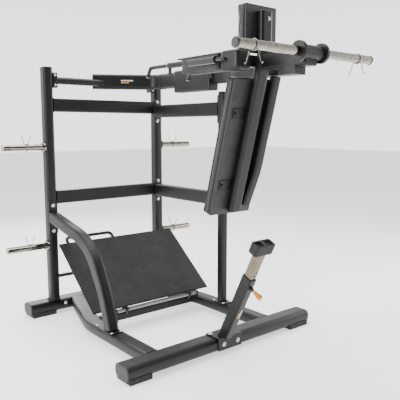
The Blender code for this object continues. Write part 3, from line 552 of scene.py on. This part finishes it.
for tag, z0, z1 in (("upper", 1.626, 1.730), ("lower", 0.900, 1.005)):
    for s, e in (("left", -1), ("right", 1)):
        weld_bead("crossbar_weld_%s_%s" % (tag, s), BASE, (e * 0.4780, 1.105, (z0 + z1) / 2), (e, 0, 0), (0, 0, 1), 0.070, z1 - z0, 0.014)
for tag, z0, z1 in (("upper", 1.592, 1.700), ("lower", 0.890, 0.998)):
    for s, y, e in (("front", 0.2275, -1), ("rear", 1.0635, 1)):
        weld_bead("side_beam_weld_%s_%s" % (tag, s), BASE, (0.497, y, (z0 + z1) / 2), (0, e, 0), (0, 0, 1), 0.060, z1 - z0, 0.012)
for sgn, tag in ((-1, "left"), (1, "right")):
    weld_bead("rear_post_weld_" + tag, BASE, (sgn * 0.518, 1.115, TOP + 0.001), (0, 0, 1), (1, 0, 0), 0.090, 0.076, 0.022)
    weld_bead("plate_beam_weld_" + tag, BASE, (sgn * (beam_hi.x - 0.0045), 0.512, 0.078), (sgn, 0, 0), (0, 0, 1), 0.060, 0.060, 0.010)
weld_bead("front_post_weld", BASE, (0.497, 0.190, TOP + 0.001), (0, 0, 1), (1, 0, 0), 0.062, 0.062, 0.014)
weld_bead("arm_seam_weld", ARM, (0.367, 0.780, 1.883), (0, 1, 0), (0, 0, 1), 0.080, 0.122, 0.022, 0.0024)
weld_bead("horn_beam_weld", ARM, (0, -0.7400, 1.880), (0, 1, 0), (0, 0, 1), 0.090, 0.100, 0.014)
weld_bead("link_tube_weld", ARM, (0.2785, -0.640, 1.887), (1, 0, 0), (0, 0, 1), 0.058, 0.068, 0.010)
weld_bead("link_root_weld", ARM, (0.377, 0.149, 1.880), (0, -1, 0), (0, 0, 1), 0.050, 0.110, 0.016)

# small fittings: head board screws, plate screws, grab handle caps, shoulder plate domes
bolts("head_board_screw", ARM, [((0.009, -0.7386, 2.120), (0, -1, 0))], 0.0085)
SLOPE = math.radians(38.7)
ca, sa = math.cos(SLOPE), math.sin(SLOPE)
bolts("grip_sheet_screw", "foot_plate",
      [((x, 0.356 + t * ca - 0.0043 * sa, 0.1985 + t * sa + 0.0043 * ca), (0, -sa, ca))
       for x, t in ((0.325, 0.542), (0.084, 0.341), (0.331, 0.130), (-0.330, 0.130), (-0.330, 0.542))], 0.0048, M["black_plastic"])
for sgn, tag in ((-1, "left"), (1, "right")):
    bm = bmesh.new()
    lathe(bm, [(0, 0.0), (0.0118, 0.0), (0.0146, 0.0012), (0.0150, 0.0030), (0.0132, 0.0052), (0.0080, 0.0068), (0, 0.0072)],
          towards((sgn * 0.178, 0.2163, 1.8476), (0, 0.30, -0.95)))
    link("grab_handle_cap_" + tag, mesh_of(bm, "grab_handle_cap"), M["grey_paint"], ARM)
    bm = bmesh.new()
    lathe(bm, [(0.0127, 0.0), (0.0182, 0.0), (0.0190, 0.0010), (0.0190, 0.0052), (0.0178, 0.0066), (0.0127, 0.0070), (0.0127, 0.0)],
          towards((sgn * 0.178, -0.0268, 1.9045), (0, 1, 0)))
    link("grip_ring_" + tag, mesh_of(bm, "grip_ring"), M["grey_paint"], ARM)
    bm = bmesh.new()
    lathe(bm, [(0, 0.0), (0.0130, 0.0), (0.0146, 0.0008), (0.0146, 0.0034), (0.0128, 0.0074), (0.0085, 0.0100), (0, 0.0110)],
          towards((sgn * 0.208, -0.622, 1.9246), (0, 0, 1)))
    link("shoulder_plate_stop_" + tag, mesh_of(bm, "shoulder_plate_stop"), M["rubber"], ARM)


# --------------------------------------------------------------------- pads
def smooth_box(half, corner, edge, cell):
    """Closed box with rounded plan corners and rolled front edges, lofted from a stack of rings.

    half = (x, y) half sizes, corner = plan corner radius, edge = (z0, z1).
    """
    bm = bmesh.new()
    plan = outline(2 * half[0], 2 * half[1], corner, 6)
    z0, z1 = edge
    loops = []
    for inset, z in ((0.006, z0), (0.001, z0 + 0.003), (0.0, z0 + 0.008), (0.0, (z0 + z1) / 2), (0.0, z1 - 0.016),
                     (0.0016, z1 - 0.009), (0.0055, z1 - 0.0035), (0.012, z1)):
        w, h = 2 * (half[0] - inset), 2 * (half[1] - inset)
        loops.append([Vector((x, y, z)) for x, y in outline(w, h, max(corner - inset, 0.003), 6)])
    loft(bm, loops)
    mesh = mesh_of(bm, "pad")
    return mesh


def make_pad(name, body, cad, matrix, half, z0, z1, corner, swell, seam_z=None):
    """An upholstered foam pad: the cover is inflated as cloth over its foam, then seamed and stitched."""
    shrink = 0.0035
    obj = bpy.data.objects.new(name, smooth_box((half[0] - shrink, half[1] - shrink), corner, (z0, z1 - shrink), 0.005))
    COLL.objects.link(obj)
    scene = bpy.context.scene
    rm = obj.modifiers.new("voxel", "REMESH")
    rm.mode = "VOXEL"
    rm.voxel_size = 0.0055
    apply_all(obj)
    base = [v.co.copy() for v in obj.data.vertices]
    pin = obj.vertex_groups.new(name="pin")
    for v in obj.data.vertices:
        if v.co.z < z0 + 0.004:
            pin.add([v.index], 1.0, "REPLACE")
    c = obj.modifiers.new("cover", "CLOTH")
    s = c.settings
    s.quality = 4
    s.mass = 0.25
    s.tension_stiffness = 60
    s.compression_stiffness = 40
    s.shear_stiffness = 25
    s.bending_stiffness = 3.0
    s.use_pressure = True
    s.uniform_pressure_force = 4.0
    s.vertex_group_mass = "pin"
    s.effector_weights.gravity = 0.0
    c.collision_settings.use_collision = False
    c.point_cache.frame_start = 1
    c.point_cache.frame_end = 20
    for f in range(1, 21):
        scene.frame_set(f)
    apply_all(obj)
    scene.frame_set(1)
    hx, hy = half
    for v, b in zip(obj.data.vertices, base):
        p = v.co
        d = p - b
        if d.length > swell:
            d *= swell / d.length
        q = b + d
        q.x = max(-hx, min(hx, q.x))
        q.y = max(-hy, min(hy, q.y))
        q.z = max(z0, min(z1 + 0.006, q.z))
        v.co = q
    # sides drawn in between the corners, and a sewn groove under the front edge
    seam = seam_z if seam_z is not None else z1 - 0.017
    for v in obj.data.vertices:
        p = v.co
        sx, sy = p.x / hx, p.y / hy
        n = Vector((0, 0, 0))
        if abs(sx) > 0.94:
            n.x = math.copysign(1, sx)
        if abs(sy) > 0.965:
            n.y = math.copysign(1, sy)
        if n.length > 0:
            n.normalize()
            g = 0.0016 * math.exp(-((p.z - seam) / 0.0035) ** 2)
            draw = 0.0018 * (1 - sy * sy) if n.x else 0.0014 * (1 - sx * sx)
            p -= n * (g + draw)
        # faint creases that run from the drawn-in corners
        w = noise.noise(Vector((p.x * 14, p.y * 9, p.z * 20))) * 0.0007
        p.z += w if p.z > z1 - 0.012 else 0
        v.co = p
    sub = obj.modifiers.new("fine", "SUBSURF")
    sub.levels = sub.render_levels = 1
    apply_all(obj)
    obj.data.transform(matrix)
    bvh = BVHTree.FromPolygons([v.co.copy() for v in obj.data.vertices], [tuple(p.vertices) for p in obj.data.polygons])
    obj.data.transform(SHIFT)
    obj.data.materials.clear()
    obj.data.materials.append(M["vinyl"])
    for p in obj.data.polygons:
        p.use_smooth = True
    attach(obj, body)
    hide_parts(cad)
    # piping and stitches that follow the real surface
    perim = outline(2 * hx, 2 * hy, corner, 8)
    fine = []
    for i, p in enumerate(perim):
        q = perim[(i + 1) % len(perim)]
        k = max(1, int(math.hypot(q[0] - p[0], q[1] - p[1]) / 0.0065))
        for j in range(k):
            fine.append((p[0] + (q[0] - p[0]) * j / k, p[1] + (q[1] - p[1]) * j / k))
    rot = matrix.to_3x3()

    def surface(x, y, z):
        o = Vector((x, y, z))
        i = Vector((max(-hx + corner, min(hx - corner, x)), max(-hy + corner, min(hy - corner, y)), z))
        d = (i - o).normalized()
        hit = bvh.ray_cast(matrix @ (o - d * 0.03), rot @ d, 0.08)
        return hit[0], (hit[1] if hit[0] is not None else None), d

    ring = []
    for x, y in fine:
        h, nn, d = surface(x, y, seam)
        if h is not None:
            ring.append(h - (rot @ d) * 0.0003)
    bm = bmesh.new()
    rings = []
    up = (rot @ Vector((0, 0, 1))).normalized()
    for i, c in enumerate(ring):
        t = (ring[(i + 1) % len(ring)] - ring[i - 1]).normalized()
        o = t.cross(up).normalized()
        rings.append([bm.verts.new(c + o * (0.0017 * math.cos(k * math.pi / 4)) + up * (0.0017 * math.sin(k * math.pi / 4))) for k in range(8)])
    for i in range(len(rings)):
        a, b = rings[i], rings[(i + 1) % len(rings)]
        for k in range(8):
            bm.faces.new((a[k], a[(k + 1) % 8], b[(k + 1) % 8], b[k]))
    pip = link(name + "_piping", mesh_of(bm, name + "_piping"), M["vinyl"], body)
    bm = bmesh.new()
    for off in (-0.0055,):
        for i in range(0, len(fine)):
            x, y = fine[i]
            x2, y2 = fine[(i + 1) % len(fine)]
            h, nn, d = surface(x, y, seam + off)
            h2, nn2, d2 = surface(x + (x2 - x) * 0.62, y + (y2 - y) * 0.62, seam + off)
            if h is None or h2 is None or (h2 - h).length < 0.001:
                continue
            t = (h2 - h)
            o = -(rot @ d)
            s = t.cross(o).normalized()
            pts = []
            for f, lift, r in ((0.0, -0.0002, 0.00035), (0.25, 0.0004, 0.00055), (0.75, 0.0004, 0.00055), (1.0, -0.0002, 0.00035)):
                c = h + t * f + o * lift
                pts.append([bm.verts.new(c + s * (r * math.cos(k * math.pi / 2.5)) + o * (r * math.sin(k * math.pi / 2.5))) for k in range(5)])
            for a, b in zip(pts, pts[1:]):
                for k in range(5):
                    bm.faces.new((a[k], a[(k + 1) % 5], b[(k + 1) % 5], b[k]))
            bm.faces.new(pts[0])
            bm.faces.new(list(reversed(pts[-1])))
    link(name + "_stitching", mesh_of(bm, name + "_stitching"), THREAD, body)
    return obj


def apply_all(obj):
    bpy.context.view_layer.update()
    deps = bpy.context.evaluated_depsgraph_get()
    mesh = bpy.data.meshes.new_from_object(obj.evaluated_get(deps))
    obj.modifiers.clear()
    old = obj.data
    obj.data = mesh
    bpy.data.meshes.remove(old)
    obj.vertex_groups.clear()


PAD_TILT = math.radians(15.07)
tx, tz = -math.sin(PAD_TILT), math.cos(PAD_TILT)
nx, nz = math.cos(PAD_TILT), math.sin(PAD_TILT)
# local X across (mirrored to keep the frame right-handed), local Y up the pad, local Z towards the user
back = Matrix(((-1, 0, 0, 0), (0, tx, nx, -0.429), (0, tz, nz, 0.951), (0, 0, 0, 1)))
L = 0.867
make_pad("back_pad_upholstery", ARM, "back_pad", back @ Matrix.Translation((0, L / 2, 0)), (0.178, L / 2), 0.0123, 0.082, 0.022, 0.006)
lo, hi = node("head_pad")
head = Matrix(((-1, 0, 0, 0), (0, 0, 1, lo.y), (0, 1, 0, (lo.z + hi.z) / 2), (0, 0, 0, 1)))
make_pad("head_pad_upholstery", ARM, "head_pad", head, ((hi.x - lo.x) / 2, (hi.z - lo.z) / 2), 0.0, hi.y - lo.y, 0.020, 0.006)
for s in ("left", "right"):
    n = "shoulder_pad_" + s
    lo, hi = node(n)
    c = (lo + hi) / 2
    # local Z points down, onto the shoulder
    m = Matrix(((1, 0, 0, c.x), (0, -1, 0, c.y), (0, 0, -1, hi.z), (0, 0, 0, 1)))
    make_pad(n + "_upholstery", ARM, n, m, ((hi.x - lo.x) / 2, (hi.y - lo.y) / 2), 0.0, hi.z - lo.z - 0.002, 0.024, 0.006,
             seam_z=0.030)

# ----------------------------------------------------------- generic stripes
def sticker(name, body, corners, lift, mat):
    """A thin decal with rounded ends on a flat face: corners run round it."""
    a, b, c, d = (Vector(p) for p in corners)
    n = (b - a).cross(d - a).normalized()
    bm = bmesh.new()
    w, h = (b - a).length, (d - a).length
    u, v = (b - a).normalized(), (d - a).normalized()
    o = (a + c) / 2
    pts = outline(w, h, min(h, w) * 0.28, 5)
    loft(bm, [[o + u * x + v * y + n * t for x, y in pts] for t in (lift, lift + 0.0005)])
    return link(name, mesh_of(bm, name), mat, body)


# on the diagonal face of the arm, in place of any mark
pa, pb = Vector((-0.085, 1.172, 1.883)), Vector((0.367, 0.905, 1.883))
along = (pb - pa).normalized()
out = Vector((along.y, -along.x, 0)).normalized()
if out.y > 0:
    out = -out
face = pa + out * 0.0402
for i, (s0, s1, z0, z1, mat) in enumerate(((0.235, 0.335, 0.004, 0.014, STRIPE_B), (0.235, 0.300, -0.012, -0.004, STRIPE_A))):
    p0, p1 = face + along * s0, face + along * s1
    cs = [(p0.x, p0.y, 1.883 + z0), (p1.x, p1.y, 1.883 + z0), (p1.x, p1.y, 1.883 + z1), (p0.x, p0.y, 1.883 + z1)]
    n = (Vector(cs[1]) - Vector(cs[0])).cross(Vector(cs[3]) - Vector(cs[0]))
    if n.dot(out) < 0:
        cs = [cs[1], cs[0], cs[3], cs[2]]
    sticker("arm_stripe_%d" % (i + 1), ARM, cs, 0.0001, mat)

# on the front face of the stop's post
LEAN = math.radians(26.5)
for i, (x0, x1, s0, s1, mat) in enumerate(((0.004, 0.013, 0.205, 0.275, STRIPE_B), (-0.010, -0.003, 0.205, 0.250, STRIPE_A))):
    def on_post(x, t):
        return (x, -0.385 - math.sin(LEAN) * t - math.cos(LEAN) * 0.0400, 0.110 + math.cos(LEAN) * t - math.sin(LEAN) * 0.0400)
    sticker("stop_stripe_%d" % (i + 1), BASE, [on_post(x0, s0), on_post(x1, s0), on_post(x1, s1), on_post(x0, s1)], 0.0001, mat)

# --------------------------------------------------------- floor and light
def stage_plane(name, size, loc, mat):
    bpy.ops.mesh.primitive_plane_add(size=size, location=loc)
    o = bpy.context.object
    o.name = name
    o.data.materials.append(mat)
    return o


fm = Nodes("studio_floor")
fm.set(Metallic=0.0, Specular_IOR_Level=0.25)
fm.colour(fm.ramp(fm.noise(2.0, 3), [(0.3, (0.86, 0.86, 0.86)), (0.7, (0.90, 0.90, 0.90))]))
fm.set(Roughness=0.75, Emission_Color=(1, 1, 1, 1), Emission_Strength=1.0)
stage_plane("floor", 60, (0, 0, -0.0005), fm.mat)


def area(name, loc, target, size, power, colour=(1, 1, 1), size_y=None):
    d = bpy.data.lights.new(name, "AREA")
    d.energy = power
    d.size = size
    d.color = colour
    if size_y:
        d.shape = "RECTANGLE"
        d.size_y = size_y
    o = bpy.data.objects.new(name, d)
    COLL.objects.link(o)
    o.location = loc
    o.rotation_euler = (Vector(target) - Vector(loc)).to_track_quat("-Z", "Y").to_euler()
    return o


area("key_left", (-4.4, 0.9, 2.7), (0, 0, 1.0), 2.8, 230)
area("top_soft", (0.0, 0.2, 5.0), (0, 0, 0.6), 4.2, 300)
area("right_rim", (4.4, -1.5, 2.3), (0, 0, 1.1), 2.4, 130)
area("rear_rim", (0.5, 4.8, 3.0), (0, 0, 1.0), 3.2, 170)

# pale studio: bright behind the machine and at its sides, dim overhead and in front of it
world = bpy.data.worlds.new("studio")
world.use_nodes = True
wt = world.node_tree
tc = wt.nodes.new("ShaderNodeTexCoord")


def glow(vector, low, high):
    d = wt.nodes.new("ShaderNodeVectorMath")
    d.operation = "DOT_PRODUCT"
    wt.links.new(tc.outputs["Generated"], d.inputs[0])
    d.inputs[1].default_value = vector
    r = wt.nodes.new("ShaderNodeValToRGB")
    for e, (p, c) in zip(r.color_ramp.elements, (low, high)):
        e.position = p
        e.color = (c, c, c, 1)
    a = wt.nodes.new("ShaderNodeMath")
    a.operation = "MULTIPLY_ADD"
    a.inputs[1].default_value = 0.5
    a.inputs[2].default_value = 0.5
    wt.links.new(d.outputs["Value"], a.inputs[0])
    wt.links.new(a.outputs[0], r.inputs["Fac"])
    return r.outputs["Color"]


rise = glow((0, 0, 1), (0.56, 1.0), (0.88, 0.30))
back = glow((math.sin(math.radians(39.7)), math.cos(math.radians(39.7)), 0), (0.27, 0.065), (0.68, 1.0))
product = wt.nodes.new("ShaderNodeMix")
product.data_type = "RGBA"
product.blend_type = "MULTIPLY"
rgba = [i for i in product.inputs if i.type == "RGBA"]
[i for i in product.inputs if i.name == "Factor" and i.type == "VALUE"][0].default_value = 1.0
wt.links.new(rise, rgba[0])
wt.links.new(back, rgba[1])
wt.links.new([o for o in product.outputs if o.type == "RGBA"][0], wt.nodes["Background"].inputs["Color"])
wt.nodes["Background"].inputs["Strength"].default_value = 2.45
bpy.context.scene.world = world
